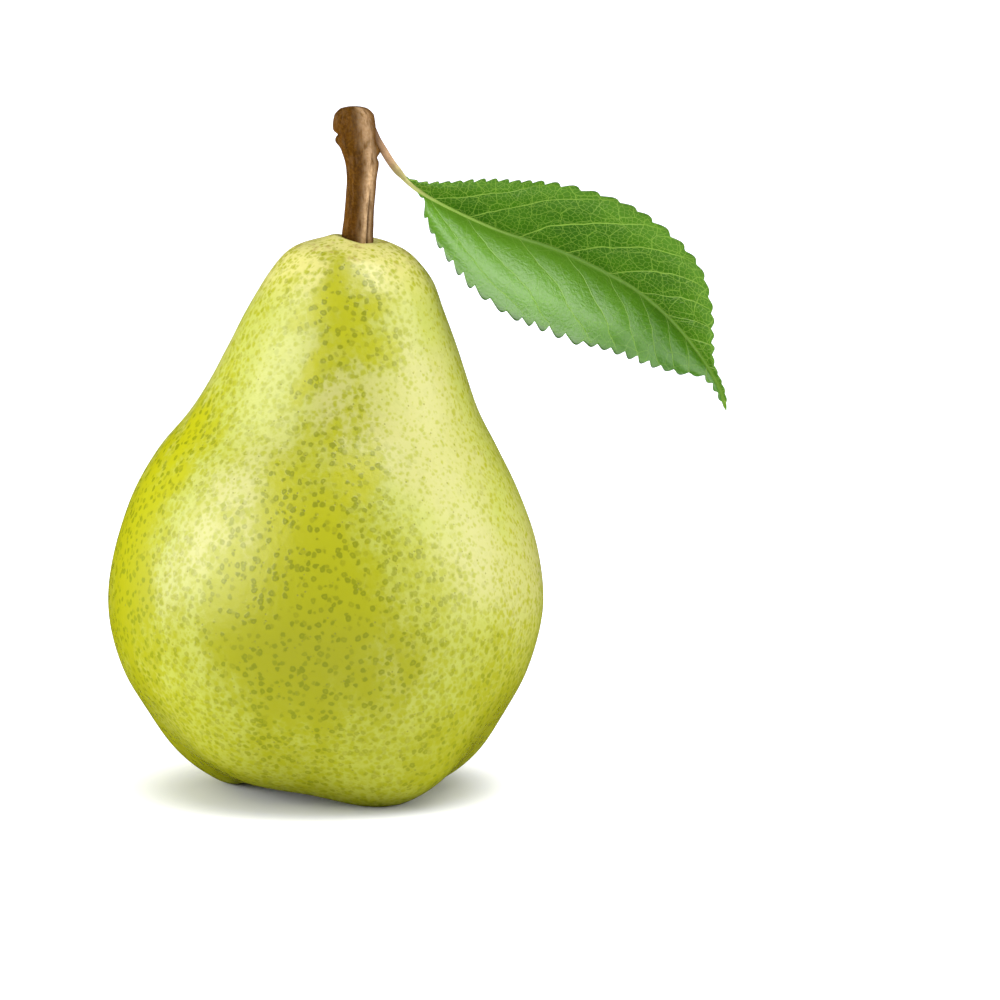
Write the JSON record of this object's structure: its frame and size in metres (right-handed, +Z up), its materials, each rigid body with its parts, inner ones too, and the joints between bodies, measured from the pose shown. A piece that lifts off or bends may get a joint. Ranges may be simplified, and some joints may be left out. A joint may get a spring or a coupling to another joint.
{
  "type": "pear",
  "caption": "Whole upright pear with a lobed base, narrow neck, woody stem with a swollen knob, and a toothed leaf on a thin stalk.",
  "frame": {"origin": "middle of the base of the bounding box, on the surface that the pear stands on", "axes": "+Z up along the fruit, +X towards the leaf, -Y the side that the leaf's face looks to"},
  "size_m": [0.1036, 0.0728, 0.1158],
  "materials": {
    "skin": "satin",
    "bark": "matte",
    "leaf": "satin",
    "dried_blossom": "matte"
  },
  "bodies": {
    "root": {"fruit": "skin", "stem": "bark", "leaf": "leaf", "sepal_1": "dried_blossom", "sepal_2": "dried_blossom", "sepal_3": "dried_blossom", "sepal_4": "dried_blossom", "sepal_5": "dried_blossom", "stamen_01": "dried_blossom", "stamen_02": "dried_blossom", "stamen_03": "dried_blossom", "stamen_04": "dried_blossom", "stamen_05": "dried_blossom", "stamen_06": "dried_blossom", "stamen_07": "dried_blossom", "stamen_08": "dried_blossom", "stamen_09": "dried_blossom", "stamen_10": "dried_blossom"}
  },
  "joints": []
}
